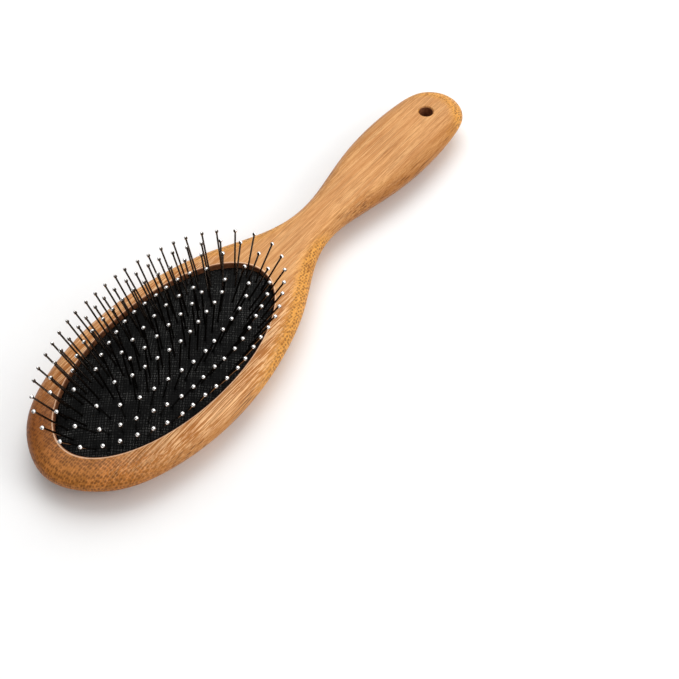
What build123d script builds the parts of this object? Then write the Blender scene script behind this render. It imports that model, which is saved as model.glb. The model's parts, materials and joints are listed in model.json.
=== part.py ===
"""Oval air-cushion pin brush for dogs and cats, with a one-piece laminated bamboo handle.

The brush lies on its flat back. X runs along it, with the head at -X and the grip at +X, Y runs
across it and +Z is the side that the pins stand on. The origin is the middle of its footprint.
"""
from math import atan2, cos, hypot, pi, radians, sin
import os

from build123d import *

os.makedirs("parts", exist_ok=True)

# ---- driving dimensions, in millimetres and degrees ----
LENGTH = 230.0
BOARD = 15.0  # thickness of the bamboo board
WIDEST_Z = 10.0  # height of the edge line, where the board is widest
BACK_STEPS = (1.0, 0.78, 0.55, 0.34, 0.16, 0.05, 0.0)  # sections of the back bevel, as shares of its height
BACK_BULGE = 1.3  # 1 for a straight bevel
TOP_TURNS = (0.0, 20.0, 40.0, 60.0, 77.0, 90.0)  # how far the top roll has turned at its sections

# From head tip to grip end: distance along, half width, plan width of the top roll, of the back bevel.
OUTLINE = [
    (0.0, 0.0, 8.4, 9.5),
    (2.9, 10.5, 8.4, 9.3),
    (11.5, 21.2, 7.9, 8.5),
    (27.6, 29.0, 7.5, 7.2),
    (48.0, 32.7, 7.4, 6.6),
    (69.0, 32.0, 7.4, 6.4),
    (87.4, 28.2, 7.6, 6.2),
    (104.0, 22.2, 8.2, 7.0),
    (120.0, 13.9, 8.0, 9.2),
    (133.0, 9.3, 6.6, 7.4),
    (146.0, 8.7, 6.2, 6.8),
    (162.0, 11.5, 7.0, 6.6),
    (180.0, 14.6, 7.4, 6.2),
    (198.0, 15.4, 7.6, 6.2),
    (214.0, 14.1, 7.6, 7.2),
    (225.2, 10.1, 8.2, 8.8),
    (230.0, 0.0, 8.8, 10.4),
]

HANGING_HOLE_R = 2.85
HANGING_HOLE_AT = 212.9  # from the head tip
HANGING_HOLE_CHAMFER = 0.45

RECESS_CENTRE = 57.8  # from the head tip
RECESS_HALF = (48.0, 24.7)  # half length and half width
RECESS_FLOOR = 4.5
RECESS_LIP = 0.35  # rounding of its top edge
GROOVE_DEPTH = 1.5
GROOVE_Z = (10.4, 12.4)

CROWN = 1.2  # height of the cushion's crown above the board
DOME_DROP = 3.2  # fall of the dome from its crown to the wall
CLOTH = 0.4
RUBBER = 2.4
WALL_GAP = 0.2  # play between the soft parts and the wood
SKIRT = 2.6  # width of the rubber skirt behind the wall
SKIRT_BOTTOM = 7.4
BACKING = 1.0
BACKING_DEPTH = 4.8  # from the dome's surface to the front of the backing sheet
BACKING_PLAY = 0.05  # between the backing sheet's edge and the skirt

PIN_FREE = 17.0  # from the cloth to the end of the ball
PIN_WIRE_R = 0.33
PIN_BALL_R = 0.7
PIN_HOLE_R = 0.43
PIN_SHANK = 3.6  # from the cloth to the top of the flat head
PIN_HEAD_R = 1.0
PIN_HEAD_T = 0.5
BORE_RUN_OUT = 2.0  # how far a pin's bore is cut past both sides of the pad
LEAN_SCATTER = (1.2, 5.1)  # uneven setting of single pins: its size, and its step from pin to pin
TURN_SCATTER = (2.0, 3.7)

# Ovals of pins, outermost first: half length, half width, pins, outward lean, separate sectors.
OVALS = [
    (43.8, 21.3, 48, 29.5, 8),
    (37.8, 16.9, 40, 27.5, 8),
    (31.4, 12.1, 30, 21.5, 6),
    (25.6, 7.2, 24, 9.5, 4),
    (19.4, 2.8, 14, 1.5, 2),
]

# ---- worked out from them ----
HEAD_TIP_X = -LENGTH / 2
RECESS_X = HEAD_TIP_X + RECESS_CENTRE
HOLE_X = HEAD_TIP_X + HANGING_HOLE_AT
CROWN_Z = BOARD + CROWN
DOME_R = (RECESS_HALF[0] ** 2 + DOME_DROP**2) / (2 * DOME_DROP)
DOME_REACH = RECESS_HALF[0] + GROOVE_DEPTH
ASPECT = RECESS_HALF[1] / RECESS_HALF[0]
LIP_Z = (GROOVE_Z[0] + WALL_GAP, GROOVE_Z[1] - WALL_GAP)


def save(piece, name):
    """Label a finished piece and write it to its own file."""
    piece.label = name
    export_step(piece, f"parts/{name}.step")


def outline_points(share, back):
    """One side of the board's outline, moved inwards by a share of its back bevel or its top roll."""
    side = [(HEAD_TIP_X + x, y) for x, y, top, back in OUTLINE]
    before = [(side[1][0], -side[1][1])] + side[:-1]
    after = side[1:] + [(side[-2][0], -side[-2][1])]
    moved = []
    for here, start, end, (_, _, top_roll, back_bevel) in zip(side, before, after, OUTLINE):
        dx, dy = end[0] - start[0], end[1] - start[1]
        inset = share * (back_bevel if back else top_roll) / hypot(dx, dy)
        moved.append((here[0] + inset * dy, here[1] - inset * dx))
    return moved


def outline_section(z, share, back=False):
    """A slice of the board's +Y half at height z."""
    points = outline_points(share, back)
    with BuildSketch(Plane.XY.offset(z)) as section:
        with BuildLine():
            Spline(points, tangents=[(0, 1), (0, -1)], tangent_scalars=[1, 1])
            Line(points[-1], points[0])
        make_face()
    return section.sketch


def oval(z, grow):
    """The recess's oval at height z, made larger all round by grow."""
    with BuildSketch(Plane.XY.offset(z)) as sketch:
        with Locations((RECESS_X, 0)):
            Ellipse(RECESS_HALF[0] + grow, RECESS_HALF[1] + grow)
    return sketch.sketch


def dome_z(x, y):
    """Height of the cushion's cloth at a point given from the recess's centre."""
    return CROWN_Z - DOME_R + (DOME_R**2 - x**2 - (y / ASPECT) ** 2) ** 0.5


def dome(sink):
    """Everything under the cushion's domed surface, after lowering it by sink."""
    crown, edge = (0, CROWN_Z - sink), (DOME_REACH, dome_z(DOME_REACH, 0) - sink)
    with BuildPart() as cap:
        with BuildSketch(Plane.XZ):
            with BuildLine():
                RadiusArc(crown, edge, DOME_R)
                Polyline(edge, (DOME_REACH, 0), (0, 0), crown)
            make_face()
        revolve(axis=Axis.Z)
    squashed = scale(cap.part, by=(1, ASPECT, 1), mode=Mode.PRIVATE)
    return Pos(RECESS_X, 0, 0) * squashed


def under_dome(sink, grow, bottom):
    """An oval block that ends at the cushion's domed surface, lowered by sink."""
    with BuildPart() as block:
        add(oval(bottom, grow))
        extrude(amount=BOARD)
        add(dome(sink), mode=Mode.INTERSECT)
    return block.part


def ring(bottom, top, outer, inner):
    """An upright oval band between two heights and two offsets of the recess's wall."""
    with BuildPart() as band:
        add(oval(bottom, outer))
        extrude(amount=top - bottom)
        add(oval(bottom, inner))
        extrude(amount=top - bottom, mode=Mode.SUBTRACT)
    return band.part


# ---- pins ----
def oval_angles(half_x, half_y, count):
    """Ellipse angles of evenly spaced points, found along its length, half a step off its ends."""
    fine = 3600
    steps = [2 * pi * (i + 0.5) / fine for i in range(fine)]
    lengths = [hypot(half_x * sin(t), half_y * cos(t)) for t in steps]
    pitch = sum(lengths) / count
    angles, run = [], 0.0
    for t, length in zip(steps, lengths):
        run += length
        if run >= pitch * (len(angles) + 0.5):
            angles.append(t)
    return angles


def uneven(scatter, number, row):
    """A repeatable small angle, in radians, that differs from pin to pin."""
    size, step = scatter
    return radians(size * sin(step * number + row))


def pin_planes(row, half_x, half_y, count, lean):
    """A plane for each pin of an oval, at the cloth, with its normal along the pin."""
    planes = []
    for number, t in enumerate(oval_angles(half_x, half_y, count)):
        x, y = half_x * cos(t), half_y * sin(t)
        tilt = radians(lean) + uneven(LEAN_SCATTER, number, row)
        turn = atan2(sin(t) / half_y, cos(t) / half_x) + uneven(TURN_SCATTER, number, row)
        normal = (sin(tilt) * cos(turn), sin(tilt) * sin(turn), cos(tilt))
        planes.append(Plane(origin=(RECESS_X + x, y, dome_z(x, y)), z_dir=normal))
    return planes


def pin_group(planes):
    """Ball-ended wire pins with flat heads, one on each plane."""
    ball = PIN_FREE - PIN_BALL_R
    with BuildPart() as pins:
        for plane in planes:
            with BuildSketch(plane.offset(-PIN_SHANK)):
                Circle(PIN_HEAD_R)
            extrude(amount=-PIN_HEAD_T)
            with BuildSketch(plane.offset(-PIN_SHANK)):
                Circle(PIN_WIRE_R)
            extrude(amount=PIN_SHANK + ball)
            with Locations(plane.offset(ball)):
                Sphere(PIN_BALL_R)
    return pins.part


def bores(planes):
    """The clearance holes that the pins pass through, as solids to cut away."""
    with BuildPart() as drills:
        for plane in planes:
            with BuildSketch(plane.offset(-PIN_SHANK - BORE_RUN_OUT)):
                Circle(PIN_HOLE_R)
        extrude(amount=PIN_SHANK + 2 * BORE_RUN_OUT)
    return drills.part


all_pins = []
for row, (half_x, half_y, count, lean, sectors) in enumerate(OVALS):
    oval_pins = pin_planes(row, half_x, half_y, count, lean)
    all_pins += oval_pins
    share = count // sectors
    for sector in range(sectors):
        first = sector * share
        group = pin_group(oval_pins[first : first + share])
        save(group, f"pins_oval{row + 1}_sector{sector + 1}")

# ---- handle body ----
with BuildPart() as handle_body:
    for down in BACK_STEPS:
        add(outline_section(WIDEST_Z * (1 - down), down**BACK_BULGE, back=True))
    loft()
    for turn in TOP_TURNS:
        height = WIDEST_Z + (BOARD - WIDEST_Z) * sin(radians(turn))
        add(outline_section(height, 1 - cos(radians(turn))))
    loft()
    mirror(about=Plane.XZ)

    add(oval(RECESS_FLOOR, 0))
    extrude(amount=BOARD, mode=Mode.SUBTRACT)
    top = handle_body.faces().filter_by(GeomType.PLANE).sort_by(Axis.Z)[-1]
    fillet(top.inner_wires()[0].edges(), radius=RECESS_LIP)
    add(oval(GROOVE_Z[0], GROOVE_DEPTH))
    extrude(amount=GROOVE_Z[1] - GROOVE_Z[0], mode=Mode.SUBTRACT)

    with Locations((HOLE_X, 0, BOARD / 2)):
        Cylinder(HANGING_HOLE_R, 2 * BOARD, mode=Mode.SUBTRACT)
    rims = handle_body.edges().filter_by(GeomType.CIRCLE)
    chamfer(rims, length=HANGING_HOLE_CHAMFER)
save(handle_body.part, "handle_body")

# ---- cushion ----
with BuildPart() as cushion_pad:
    add(under_dome(CLOTH, -WALL_GAP, SKIRT_BOTTOM))
    add(under_dome(CLOTH + RUBBER, -SKIRT, RECESS_FLOOR), mode=Mode.SUBTRACT)
    add(ring(*LIP_Z, GROOVE_DEPTH - WALL_GAP, -SKIRT / 2))
    add(bores(all_pins), mode=Mode.SUBTRACT)
save(cushion_pad.part, "cushion_pad")

with BuildPart() as cushion_cloth:
    add(under_dome(0, -WALL_GAP, LIP_Z[1]))
    add(dome(CLOTH), mode=Mode.SUBTRACT)
    add(bores(all_pins), mode=Mode.SUBTRACT)
save(cushion_cloth.part, "cushion_cloth")

with BuildPart() as backing_sheet:
    add(under_dome(BACKING_DEPTH, -SKIRT - BACKING_PLAY, RECESS_FLOOR))
    add(dome(BACKING_DEPTH + BACKING), mode=Mode.SUBTRACT)
save(backing_sheet.part, "backing_sheet")
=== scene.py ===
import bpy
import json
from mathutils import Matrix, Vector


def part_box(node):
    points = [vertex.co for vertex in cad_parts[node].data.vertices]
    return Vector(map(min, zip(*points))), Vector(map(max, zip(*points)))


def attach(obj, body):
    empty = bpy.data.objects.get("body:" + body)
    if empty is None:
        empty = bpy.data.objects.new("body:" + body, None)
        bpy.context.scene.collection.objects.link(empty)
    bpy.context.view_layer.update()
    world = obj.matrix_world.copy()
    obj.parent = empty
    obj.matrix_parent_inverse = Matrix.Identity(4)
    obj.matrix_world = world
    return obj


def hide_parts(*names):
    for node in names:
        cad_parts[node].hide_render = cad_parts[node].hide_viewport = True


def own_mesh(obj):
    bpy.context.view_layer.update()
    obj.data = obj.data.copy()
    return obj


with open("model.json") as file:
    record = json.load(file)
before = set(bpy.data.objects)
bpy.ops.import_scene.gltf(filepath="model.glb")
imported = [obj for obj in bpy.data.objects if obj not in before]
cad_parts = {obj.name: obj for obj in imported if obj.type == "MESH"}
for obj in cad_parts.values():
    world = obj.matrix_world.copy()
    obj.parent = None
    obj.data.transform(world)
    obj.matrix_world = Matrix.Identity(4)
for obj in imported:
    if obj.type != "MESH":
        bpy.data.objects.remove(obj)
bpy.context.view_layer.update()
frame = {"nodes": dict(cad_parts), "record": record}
import json
import math
from types import SimpleNamespace

import bpy
import numpy as np
from mathutils import Quaternion, Vector

MM = 0.001
nodes = frame["nodes"]
body_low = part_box("handle_body")[0]
cloth_low, cloth_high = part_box("cushion_cloth")

# ---- places that the looks are built around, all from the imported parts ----
TIP_X = body_low.x
CENTRE = (cloth_low + cloth_high) / 2
HALF_X = (cloth_high.x - cloth_low.x) / 2
HALF_Y = (cloth_high.y - cloth_low.y) / 2
CROWN_Z = cloth_high.z
CLOTH_THICKNESS = 0.4 * MM
EDGE_DROP = CROWN_Z - cloth_low.z - CLOTH_THICKNESS
LIP_OUT = 0.5 * MM  # from the cloth's edge out over the gap and most of the recess's rounded lip
mounts = {m["name"]: m for m in frame["record"]["mounts"]}
HOLE = Vector(mounts["hanging_hole"]["pos_m"])
HOLE_R = mounts["hanging_hole"]["dims"]["r_mm"] * MM
BALL_R = 0.7 * MM
BALL_MARGIN = 1.02  # takes in every face on a ball

# ---- sizes of the visible cushion ----
RINGS, SPOKES = 120, 420
WALL = 0.15 * MM  # how far it reaches into the gap between the cloth and the wood
TURN_IN = 1.0 * MM  # width of the edge that is drawn down, and by how much
TURN_DOWN = 0.45 * MM
DIMPLE_R, DIMPLE_DEPTH = 0.75 * MM, 0.26 * MM
PUCKER_R, PUCKER_WIDTH, PUCKER_HEIGHT = 1.5 * MM, 0.6 * MM, 0.07 * MM
SKIRT = ((0.0, 0.6), (0.1, 1.4), (0.8, 2.2), (2.4, 2.4))  # inwards and down from the edge, in mm
THICKNESS = 2.8 * MM
UNDERSIDE_IN = 2.6 * MM

# ---- sizes that the materials are built around, in mm ----
STRIP_WIDTH = 5.6
JOINT_WANDER = 1.6
TIP_GRAIN = (18, 46)  # from the tip, where short dashes give way to long fibres
THREAD_PITCH = 0.95
THREAD_SWAY = 1.4
THREAD_BIAS = math.radians(-52)  # the warp's angle from X


# ---- small helpers for node materials ----
class Nodes:
    """A material's node tree, with one method for each kind of node that is used often."""

    def __init__(self, name):
        self.material = bpy.data.materials.new(name)
        self.material.use_nodes = True
        self.tree = self.material.node_tree
        self.shader = self.tree.nodes["Principled BSDF"]
        self.coords = self.tree.nodes.new("ShaderNodeTexCoord").outputs["Object"]
        self.normal = self.tree.nodes.new("ShaderNodeNewGeometry").outputs["Normal"]

    def put(self, value, socket):
        if hasattr(value, "is_linked"):
            self.tree.links.new(value, socket)
        else:
            socket.default_value = value

    def in_mm(self):
        """The object's own coordinates, in millimetres."""
        node = self.tree.nodes.new("ShaderNodeVectorMath")
        node.operation = "SCALE"
        self.put(self.coords, node.inputs[0])
        node.inputs["Scale"].default_value = 1 / MM
        return node.outputs["Vector"]

    def math(self, kind, a, b=0.0):
        node = self.tree.nodes.new("ShaderNodeMath")
        node.operation = kind
        self.put(a, node.inputs[0])
        self.put(b, node.inputs[1])
        return node.outputs[0]

    def plus(self, a, b):
        return self.math("ADD", a, b)

    def minus(self, a, b):
        return self.math("SUBTRACT", a, b)

    def times(self, a, b):
        return self.math("MULTIPLY", a, b)

    def size(self, a):
        return self.math("ABSOLUTE", a)

    def either(self, a, b):
        return self.math("MAXIMUM", a, b)

    def other(self, share):
        """What is left of one whole."""
        return self.math("SUBTRACT", 1.0, share)

    def blend(self, share, a, b):
        """All of a where the share is one, all of b where it is nothing."""
        return self.plus(self.times(a, share), self.times(b, self.other(share)))

    def vector(self, kind, a, b=(0, 0, 0)):
        node = self.tree.nodes.new("ShaderNodeVectorMath")
        node.operation = kind
        self.put(a, node.inputs[0])
        self.put(b, node.inputs[1])
        return node.outputs["Value" if kind in ("LENGTH", "DOT_PRODUCT") else "Vector"]

    def axes(self, vector):
        node = self.tree.nodes.new("ShaderNodeSeparateXYZ")
        self.put(vector, node.inputs[0])
        return node.outputs

    def join(self, x, y, z):
        node = self.tree.nodes.new("ShaderNodeCombineXYZ")
        for value, socket in zip((x, y, z), node.inputs):
            self.put(value, socket)
        return node.outputs[0]

    def ramp(self, value, low, high, out_low=0.0, out_high=1.0):
        node = self.tree.nodes.new("ShaderNodeMapRange")
        node.interpolation_type = "SMOOTHSTEP"
        for number, socket in zip((value, low, high, out_low, out_high), node.inputs):
            self.put(number, socket)
        return node.outputs[0]

    def mix(self, share, a, b):
        node = self.tree.nodes.new("ShaderNodeMix")
        node.data_type = "RGBA"
        self.put(share, node.inputs[0])
        self.put(a, node.inputs[6])
        self.put(b, node.inputs[7])
        return node.outputs[2]

    def noise(self, vector, scale=1.0, detail=3.0, rough=0.5, distort=0.0):
        node = self.tree.nodes.new("ShaderNodeTexNoise")
        self.put(vector, node.inputs["Vector"])
        node.inputs["Scale"].default_value = scale
        node.inputs["Detail"].default_value = detail
        node.inputs["Roughness"].default_value = rough
        node.inputs["Distortion"].default_value = distort
        return node.outputs["Fac"]

    def cells(self, vector, scale, jitter):
        """Distance from the nearest of many scattered points."""
        node = self.tree.nodes.new("ShaderNodeTexVoronoi")
        self.put(vector, node.inputs["Vector"])
        node.inputs["Scale"].default_value = scale
        node.inputs["Randomness"].default_value = jitter
        return node.outputs["Distance"]

    def random(self, value):
        node = self.tree.nodes.new("ShaderNodeTexWhiteNoise")
        node.noise_dimensions = "1D"
        self.put(value, node.inputs["W"])
        return node.outputs["Value"]

    def bump(self, height, distance, strength, under=None):
        node = self.tree.nodes.new("ShaderNodeBump")
        self.put(height, node.inputs["Height"])
        node.inputs["Distance"].default_value = distance
        node.inputs["Strength"].default_value = strength
        if under is not None:
            self.put(under, node.inputs["Normal"])
        return node.outputs[0]

    def shade(self, **sockets):
        for name, value in sockets.items():
            self.put(value, self.shader.inputs[name.replace("_", " ")])
        return self.material


# ---- materials ----
def bamboo_places(n):
    """Where on the board a point is, as sockets that the grain and its colours are mixed by."""
    mm = n.in_mm()
    x = n.axes(mm)[0]
    normal_x, _, normal_z = n.axes(n.normal)
    from_centre = n.vector("SUBTRACT", n.coords, tuple(CENTRE))
    per_wall = (1 / (HALF_X + LIP_OUT), 1 / (HALF_Y + LIP_OUT), 0)
    from_hole = n.vector("MULTIPLY", n.vector("SUBTRACT", n.coords, tuple(HOLE)), (1, 1, 0))
    uneven_x = n.plus(x, n.times(n.noise(mm, 0.05, 1.0), 14.0))
    dashes_end, fibres_start = (TIP_X / MM + far for far in TIP_GRAIN)
    return SimpleNamespace(
        out=n.vector("LENGTH", n.vector("MULTIPLY", from_centre, per_wall)),  # one at the recess's lip
        from_hole=n.vector("LENGTH", from_hole),
        end=n.ramp(normal_x, 0.03, 0.20),  # faces towards the grip's end, from any slope upwards
        flank=n.ramp(normal_x, 0.07, 0.19),  # the same, from steeper slopes
        side=n.ramp(n.size(normal_z), 0.50, 0.985, 1.0, 0.0),  # faces that stand upright
        tip=n.ramp(uneven_x, dashes_end, fibres_start, 1.0, 0.0),
    )


def bamboo_grain(n, place):
    """Strips of bamboo along X, with their fibres, vessels and glue lines."""
    x, y, z = n.axes(n.in_mm())

    # Strips, each with its own tone and its own lane through the patterns.
    wander = n.noise(n.join(n.times(x, 0.012), 0.0, 0.0), 1.0, 1.0)
    across = n.plus(y, n.times(wander, JOINT_WANDER))
    strip_at = n.math("DIVIDE", across, STRIP_WIDTH)
    tone = n.random(n.math("FLOOR", strip_at))
    within = n.math("FRACT", strip_at)
    lane = n.plus(across, n.times(tone, 91.0))

    # Vessels: dark dots in a cross-section, long dark fibres along the strip.
    vessel_at = n.join(n.times(x, 0.022), lane, z)
    density = n.ramp(n.plus(within, n.times(tone, 0.4)), 0.1, 1.2, 0.40, 0.54)
    vessel = n.other(n.ramp(n.cells(vessel_at, 1.42, 0.50), 0.10, density))

    # Near the tip and on the shoulders the fibres run out of the surface at a slant, as short dashes.
    dash_at = n.join(n.times(x, 0.62), lane, n.times(z, 0.80))
    dash = n.other(n.ramp(n.cells(dash_at, 1.28, 0.45), 0.24, 0.62))

    # Fine fibres, streaks, broad lines and slow changes of tone along the strip.
    fibre_at = n.join(n.times(x, 0.035), lane, z)
    return SimpleNamespace(
        x=x,
        y=y,
        tone=tone,
        glue=n.ramp(n.size(n.minus(within, 0.5)), 0.478, 0.497),
        vessel=vessel,
        dash=n.times(dash, n.either(place.tip, place.flank)),
        fibre=n.noise(fibre_at, 5.2, 3.0, 0.62),
        streak=n.noise(fibre_at, 0.9, 3.0, 0.55),
        line=n.noise(n.join(n.times(x, 0.016), lane, z), 2.4, 3.0, 0.62),
        cloud=n.noise(n.join(n.times(x, 0.25), across, z), 0.11, 2.0, 0.5),
    )


def bamboo_colour(n, place, grain):
    """Pale honey on top, streaked at the rim, golden on the shoulders and dark at the tip, with painted
    shade on the tip's +Y side and partly on upright faces.
    """
    pale = (0.790, 0.425, 0.165, 1)
    tan = (0.560, 0.245, 0.074, 1)
    amber = (0.330, 0.112, 0.014, 1)
    gold = (0.760, 0.345, 0.060, 1)
    rust = (0.600, 0.200, 0.036, 1)
    tip_shade = (0.205, 0.052, 0.005, 1)
    deep = (0.400, 0.125, 0.014, 1)
    light = (0.950, 0.580, 0.290, 1)
    brown = (0.085, 0.024, 0.005, 1)

    wood = n.mix(n.ramp(grain.streak, 0.30, 0.72), pale, tan)
    fibres = n.times(n.ramp(grain.fibre, 0.44, 0.62), n.ramp(place.side, 0.0, 0.5, 0.56, 0.86))
    wood = n.mix(fibres, wood, amber)
    edge_strip = n.times(n.ramp(n.size(grain.y), 6.0, 12.0), n.ramp(grain.x, 20.0, 45.0))
    # Upright faces and the grip's long edges are mixed towards amber; on the upright faces this is partly
    # the wood's own colour and partly painted shade.
    wood = n.mix(n.plus(n.times(place.side, 0.38), n.times(edge_strip, 0.30)), wood, amber)
    wood = n.mix(n.times(n.ramp(grain.tone, 0.0, 1.0), 0.34), wood, tan)

    # The rim round the recess, the shoulders, and the tip, with painted shade making the tip darker still
    # towards +Y.
    rim = n.times(n.ramp(place.out, 1.16, 1.34, 1.0, 0.12), n.ramp(n.size(grain.y), 9.0, 19.0))
    rim = n.times(rim, n.ramp(place.out, 1.40, 1.50, 1.0, 0.0))
    wood = n.mix(n.times(rim, 0.85), wood, n.mix(n.ramp(grain.line, 0.46, 0.60), deep, light))
    wood = n.mix(n.times(place.end, 0.88), wood, n.mix(n.ramp(grain.streak, 0.45, 0.85), gold, amber))
    wood = n.mix(n.times(place.tip, 0.78), wood, n.mix(n.ramp(grain.streak, 0.3, 0.7), rust, amber))
    # Painted shade on the tip's +Y side, which faces away from the light.
    wood = n.mix(n.times(n.times(place.tip, n.ramp(grain.y, -6.0, 16.0)), 0.78), wood, tip_shade)

    # Vessels, dashes and glue lines.
    dots = n.times(grain.vessel, n.ramp(n.either(place.end, place.side), 0.0, 1.0, 0.24, 0.78))
    dots = n.times(dots, n.other(n.either(place.tip, place.flank)))
    dots = n.either(dots, n.times(grain.dash, 0.66))
    wood = n.mix(dots, wood, brown)
    wood = n.mix(n.times(grain.glue, 0.28), wood, brown)
    return n.mix(n.times(n.ramp(grain.cloud, 0.35, 0.7), 0.16), wood, amber)


def machined_with_painted_light(n, place, wood):
    """A pale arris round the recess, partly sanded paler and partly a painted highlight, and darker wood on
    its routed wall and in the drilled hole: raw cut wood with painted shade.
    """
    # Painted highlight along the recess's arris, partly a paler sanded edge.
    sanded_arris_highlight = n.times(n.ramp(place.out, 0.998, 1.003), n.ramp(place.out, 1.006, 1.013, 1.0, 0.0))
    wood = n.mix(n.times(sanded_arris_highlight, 0.80), wood, (0.850, 0.560, 0.360, 1))
    # Painted shade: the routed wall and the drilled hole are painted a darker, mottled reddish brown, partly
    # also the raw cut wood.
    inside = n.other(n.ramp(place.out, 0.996, 1.004))
    drilled = n.other(n.ramp(place.from_hole, HOLE_R + 0.02 * MM, HOLE_R + 0.12 * MM))
    shade_mottle = n.ramp(n.noise(n.in_mm(), 0.9, 3.0), 0.3, 0.75)
    recess_and_hole_shade = n.mix(shade_mottle, (0.200, 0.070, 0.030, 1), (0.330, 0.130, 0.058, 1))
    return n.mix(n.either(inside, drilled), wood, recess_and_hole_shade)


def bamboo():
    """Strips of bamboo glued side by side and milled: straight fibres along X, cut across at the ends."""
    n = Nodes("bamboo")
    place = bamboo_places(n)
    grain = bamboo_grain(n, place)
    wood = machined_with_painted_light(n, place, bamboo_colour(n, place, grain))
    relief = n.plus(n.times(grain.fibre, 0.5), n.times(grain.vessel, -0.35))
    relief = n.minus(relief, n.times(grain.glue, 0.3))
    rough = n.plus(n.ramp(grain.streak, 0.3, 0.8, 0.40, 0.50), n.times(grain.vessel, 0.08))
    return n.shade(
        Base_Color=wood,
        Roughness=rough,
        Specular_IOR_Level=0.20,
        Coat_Weight=0.03,
        Coat_Roughness=0.30,
        Normal=n.bump(relief, 0.05 * MM, 0.55),
    )


def woven():
    """Black nylon in a fine plain weave, cut on the bias, with uneven threads."""
    n = Nodes("woven_nylon")
    mm = n.in_mm()

    # The two sets of threads, which take turns to lie on top.
    sway = n.times(n.noise(mm, 0.06, 2.0), THREAD_SWAY)
    warp = n.vector("DOT_PRODUCT", mm, (math.cos(THREAD_BIAS), math.sin(THREAD_BIAS), 0))
    weft = n.vector("DOT_PRODUCT", mm, (-math.sin(THREAD_BIAS), math.cos(THREAD_BIAS), 0))
    u = n.math("DIVIDE", n.plus(warp, sway), THREAD_PITCH)
    v = n.math("DIVIDE", n.minus(weft, sway), THREAD_PITCH)
    wave_u = n.math("SINE", n.times(u, math.pi))
    wave_v = n.math("SINE", n.times(v, math.pi))
    over = n.ramp(n.times(wave_u, wave_v), -0.25, 0.25)
    height = n.blend(over, n.size(wave_u), n.size(wave_v))

    # Each thread has its own tone; only the raised ones that lie in a patch of the cloud get a painted
    # sheen, a brighter base colour.
    tone_u = n.random(n.math("FLOOR", u))
    tone_v = n.random(n.plus(n.math("FLOOR", v), 517.0))
    tone = n.blend(over, tone_u, tone_v)
    cloud = n.noise(mm, 0.16, 4.0, 0.6)
    dark = n.mix(tone, (0.0004, 0.0004, 0.0004, 1), (0.0025, 0.0025, 0.0025, 1))
    bright = n.mix(tone, (0.013, 0.013, 0.013, 1), (0.062, 0.062, 0.059, 1))
    lit = n.times(n.ramp(height, 0.66, 1.0), n.ramp(cloud, 0.40, 0.64, 0.12, 1.0))

    weave = n.bump(height, 0.06 * MM, 0.7)
    return n.shade(
        Base_Color=n.mix(lit, dark, bright),
        Roughness=n.plus(n.ramp(cloud, 0.3, 0.7, 0.46, 0.60), n.times(tone, 0.12)),
        Specular_IOR_Level=0.05,
        Normal=n.bump(n.noise(mm, 0.35, 2.0), 0.25 * MM, 0.35, weave),
    )


def rubber():
    """Matt black moulded rubber."""
    n = Nodes("moulded_rubber")
    speck = n.noise(n.in_mm(), 3.0, 4.0, 0.6)
    return n.shade(
        Base_Color=n.mix(n.ramp(speck, 0.3, 0.7), (0.012, 0.012, 0.013, 1), (0.030, 0.029, 0.030, 1)),
        Roughness=n.ramp(speck, 0.3, 0.7, 0.52, 0.68),
        Normal=n.bump(speck, 0.05 * MM, 0.5),
    )


def felt():
    """Grey pressed felt: short fibres in every direction."""
    n = Nodes("pressed_felt")
    hair = n.noise(n.in_mm(), 2.4, 5.0, 0.7, 2.5)
    return n.shade(
        Base_Color=n.mix(n.ramp(hair, 0.35, 0.7), (0.035, 0.035, 0.036, 1), (0.130, 0.128, 0.125, 1)),
        Roughness=0.9,
        Sheen_Weight=0.3,
        Normal=n.bump(hair, 0.2 * MM, 0.6),
    )


def steel(name, pale, dark, glossy, dull):
    """Steel with faint lines and small changes of gloss, for the drawn wire and for the polished balls."""
    n = Nodes(name)
    mm = n.in_mm()
    grain = n.noise(n.vector("MULTIPLY", mm, (6.0, 6.0, 0.7)), 1.0, 3.0, 0.6)
    patch = n.noise(mm, 0.5, 3.0, 0.6)
    return n.shade(
        Base_Color=n.mix(n.ramp(patch, 0.3, 0.75), pale, dark),
        Metallic=1.0,
        Roughness=n.ramp(grain, 0.3, 0.7, glossy, dull),
        Normal=n.bump(grain, 0.01 * MM, 0.3),
    )


def paint(obj, material):
    obj.data.materials.clear()
    obj.data.materials.append(material)


# ---- where each pin goes through the cloth ----
def dome_z(x, y):
    """Height of the cloth, for arrays of x and y."""
    radius = (HALF_X**2 + EDGE_DROP**2) / (2 * EDGE_DROP)
    dx = x - CENTRE.x
    dy = (y - CENTRE.y) * HALF_X / HALF_Y
    return CROWN_Z - radius + np.sqrt(np.maximum(radius**2 - dx**2 - dy**2, 0))


def loose_parts(mesh):
    """The vertices of each separate solid of a CAD node, as arrays."""
    count = len(mesh.vertices)
    points = np.empty(count * 3)
    mesh.vertices.foreach_get("co", points)
    points = points.reshape(-1, 3)
    # Vertices at the same place count as one.
    _, same = np.unique(np.round(points, 7), axis=0, return_inverse=True)
    same = same.ravel()
    ends = np.empty(len(mesh.edges) * 2, dtype=int)
    mesh.edges.foreach_get("vertices", ends)
    a, b = same[ends[0::2]], same[ends[1::2]]
    # Each vertex takes the lowest number that an edge brings to it, until every solid has one number.
    label = np.arange(same.max() + 1)
    while True:
        low = np.minimum(label[a], label[b])
        before = label.copy()
        np.minimum.at(label, a, low)
        np.minimum.at(label, b, low)
        label = label[label]
        if np.array_equal(before, label):
            break
    of_point = label[same]
    return [points[of_point == part] for part in np.unique(of_point)]


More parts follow.
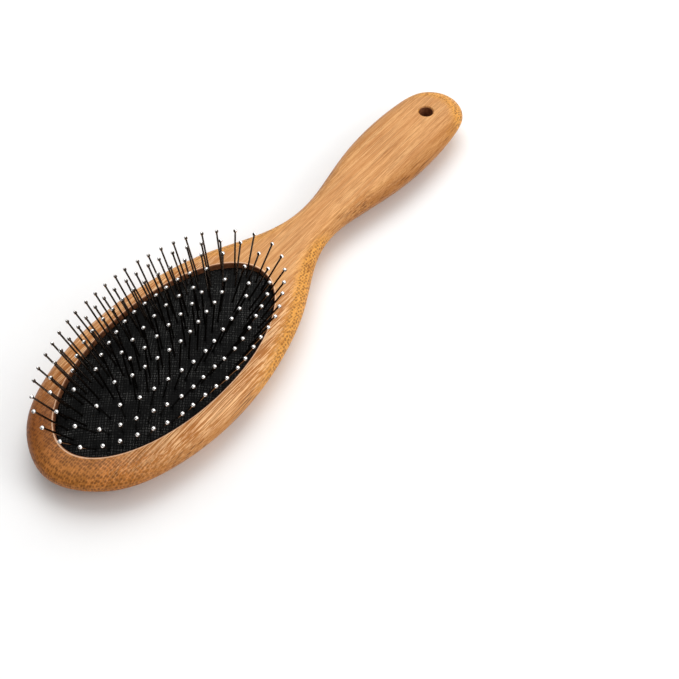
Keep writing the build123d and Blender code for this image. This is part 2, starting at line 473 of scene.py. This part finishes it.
def pin_line(points):
    """The mean of a pin's points, its direction, upwards, and how far its ball reaches from that mean."""
    middle = points.mean(axis=0)
    direction = np.linalg.svd(points - middle, full_matrices=False)[2][0]
    direction *= np.sign(direction[2])
    return middle, direction, ((points - middle) @ direction).max()


def polish_balls(mesh, lines):
    """Gives the second material to the faces of a pin group's balls."""
    centres = np.empty(len(mesh.polygons) * 3)
    mesh.polygons.foreach_get("center", centres)
    centres = centres.reshape(-1, 3)
    which = np.zeros(len(centres), dtype=np.int32)
    for middle, direction, reach in lines:
        tip = middle + direction * (reach - BALL_R)
        which[np.linalg.norm(centres - tip, axis=1) < BALL_R * BALL_MARGIN] = 1
    mesh.polygons.foreach_set("material_index", which)
    mesh.update()


def foot(middle, direction):
    """Where a pin's line goes through the cloth, found in a few steps along the line."""
    along = (CROWN_Z - middle[2]) / direction[2]
    for _ in range(6):
        spot = middle + along * direction
        along += (dome_z(spot[0], spot[1]) - spot[2]) / direction[2]
    return spot[:2]


pins_of = {}
for name, node in sorted(nodes.items()):
    if name.startswith("pins_"):
        pins_of[name] = [pin_line(part) for part in loose_parts(node.data)]
feet = [foot(middle, direction) for lines in pins_of.values() for middle, direction, _ in lines]


# ---- the cushion: cloth over rubber, drawn down at the wall and dimpled where the pins stand ----
def cloth_face():
    """The cloth's rings of points, from the crown out to the wall."""
    share = np.linspace(0, 1, RINGS + 1)[1:] ** 0.9
    angle = np.linspace(0, 2 * math.pi, SPOKES, endpoint=False)
    s, t = np.meshgrid(share, angle, indexing="ij")
    x = CENTRE.x + (HALF_X + WALL) * s * np.cos(t)
    y = CENTRE.y + (HALF_Y + WALL) * s * np.sin(t)
    z = dome_z(x, y)
    from_wall = (1 - s) * HALF_Y * np.hypot(np.cos(t) * HALF_X / HALF_Y, np.sin(t))
    z -= TURN_DOWN * np.clip(1 - from_wall / TURN_IN, 0, 1) ** 2
    for foot_x, foot_y in feet:
        near = np.hypot(x - foot_x, y - foot_y)
        z -= DIMPLE_DEPTH * np.exp(-((near / DIMPLE_R) ** 2))
        z += PUCKER_HEIGHT * np.exp(-(((near - PUCKER_R) / PUCKER_WIDTH) ** 2))
    return np.stack([x, y, z], axis=-1)


def drawn_in(points, inwards, down):
    """The same points, lower and nearer the cushion's middle, by this much on its narrow sides."""
    share = 1 - inwards / HALF_Y
    middle = np.array([CENTRE.x, CENTRE.y, 0.0])
    return middle + (points - middle) * [share, share, 1.0] - [0, 0, down]


def closed_skin(count):
    """Faces between this many rings, and from the first and the last ring to the points at the ends."""
    first, last = 1, 1 + (count - 1) * SPOKES
    faces = []
    for k in range(SPOKES):
        j = (k + 1) % SPOKES
        faces.append((0, first + k, first + j))
        for a in range(first, last, SPOKES):
            b = a + SPOKES
            faces.append((a + k, b + k, b + j, a + j))
        faces.append((last + j, last + k, last + SPOKES))
    return faces


def cushion_mesh():
    """The face, a skirt down the wall and in under the lip, so that no light gets past, and an underside."""
    face = cloth_face()
    skirt = [drawn_in(face[-1:], inwards * MM, down * MM) for inwards, down in SKIRT]
    underside = drawn_in(face[::-4], UNDERSIDE_IN, THICKNESS)
    rings = np.concatenate([face, *skirt, underside])
    crown = [CENTRE.x, CENTRE.y, CROWN_Z]
    below = [CENTRE.x, CENTRE.y, CROWN_Z - THICKNESS]
    points = np.concatenate([[crown], rings.reshape(-1, 3), [below]])
    mesh = bpy.data.meshes.new("cushion")
    mesh.from_pydata(points.tolist(), [], closed_skin(len(rings)))
    mesh.shade_smooth()
    mesh.update()
    return mesh


cushion = bpy.data.objects.new("cushion", cushion_mesh())
bpy.context.scene.collection.objects.link(cushion)
paint(cushion, woven())
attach(cushion, "handle")
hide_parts("cushion_cloth", "cushion_pad")
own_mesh(cushion)

# ---- materials of the CAD pieces ----
paint(nodes["handle_body"], bamboo())
paint(nodes["cushion_pad"], rubber())
paint(nodes["cushion_cloth"], rubber())
paint(nodes["backing_sheet"], felt())
# The drawn wire's dark brownish base colour is a painted reflection of dark surroundings, darker than bare
# steel.
wire = steel("drawn_wire", (0.150, 0.120, 0.098, 1), (0.042, 0.032, 0.025, 1), 0.12, 0.24)
ball = steel("polished_ball", (0.98, 0.97, 0.96, 1), (0.86, 0.85, 0.83, 1), 0.05, 0.12)
for name, lines in pins_of.items():
    paint(nodes[name], wire)
    nodes[name].data.materials.append(ball)
    polish_balls(nodes[name].data, lines)

# ---- floor, light and camera ----
FLOOR_GAP = 0.05 * MM  # keeps the floor from touching the board
FLOOR_REACH = 3.0
corners = [(FLOOR_REACH * x, FLOOR_REACH * y, 0) for x, y in ((-1, -1), (1, -1), (1, 1), (-1, 1))]
floor_mesh = bpy.data.meshes.new("floor")
floor_mesh.from_pydata(corners, [], [(0, 1, 2, 3)])
floor = bpy.data.objects.new("floor", floor_mesh)
floor.location.z = body_low.z - FLOOR_GAP
bpy.context.scene.collection.objects.link(floor)
plain = Nodes("paper")
paper = plain.mix(plain.noise(plain.coords, 60.0, 3.0), (0.86, 0.86, 0.86, 1), (0.89, 0.89, 0.885, 1))
paint(floor, plain.shade(Base_Color=paper, Roughness=0.8))


def white_tent():
    """A soft white tent, brightest on one side. The camera itself sees it as an even pale grey."""
    world = bpy.data.worlds.new("studio")
    world.use_nodes = True
    tree = world.node_tree
    facing = tree.nodes.new("ShaderNodeVectorMath")
    facing.operation = "DOT_PRODUCT"
    bright_side = (0.50, -0.16, 0.85)
    facing.inputs[1].default_value = bright_side
    level = tree.nodes.new("ShaderNodeMapRange")
    level.interpolation_type = "SMOOTHSTEP"
    facing_range, strength_range = (-0.24, 0.92), (0.06, 1.00)
    for socket, number in zip(list(level.inputs)[1:5], facing_range + strength_range):
        socket.default_value = number
    seen = tree.nodes.new("ShaderNodeMix")
    seen.inputs["B"].default_value = 0.95
    by_camera = tree.nodes.new("ShaderNodeLightPath").outputs["Is Camera Ray"]
    background = tree.nodes["Background"]
    background.inputs["Color"].default_value = (1, 1, 1, 1)
    tree.links.new(tree.nodes.new("ShaderNodeTexCoord").outputs["Generated"], facing.inputs[0])
    tree.links.new(facing.outputs["Value"], level.inputs[0])
    tree.links.new(by_camera, seen.inputs["Factor"])
    tree.links.new(level.outputs[0], seen.inputs["A"])
    tree.links.new(seen.outputs["Result"], background.inputs["Strength"])
    bpy.context.scene.world = world


def softbox(name, place, width, power):
    """A square of light that faces the brush's middle, at the origin."""
    lamp = bpy.data.lights.new(name, "AREA")
    lamp.shape = "RECTANGLE"
    lamp.size = lamp.size_y = width
    lamp.energy = power
    obj = bpy.data.objects.new(name, lamp)
    obj.location = place
    obj.rotation_euler = (-Vector(place)).to_track_quat("-Z", "Y").to_euler()
    bpy.context.scene.collection.objects.link(obj)


white_tent()
softbox("key", place=(0.40, 0.24, 1.05), width=1.0, power=6.9)
softbox("front", place=(0.24, -0.92, 0.58), width=0.5, power=3.0)

LENS = 59.7
EYE = Vector((-0.2077, -0.1859, 0.3176))
LOOK = Vector((0.4937, 0.3720, -0.7860))
ROLL = math.radians(-0.16)
camera = bpy.data.objects.new("camera", bpy.data.cameras.new("camera"))
camera.data.lens = LENS
camera.data.sensor_width = 36.0
camera.data.clip_start, camera.data.clip_end = 0.01, 20.0
camera.location = EYE
camera.rotation_mode = "QUATERNION"
camera.rotation_quaternion = LOOK.to_track_quat("-Z", "Y") @ Quaternion((0, 0, 1), ROLL)
bpy.context.scene.collection.objects.link(camera)
bpy.context.scene.camera = camera
bpy.context.scene.view_settings.view_transform = "Standard"
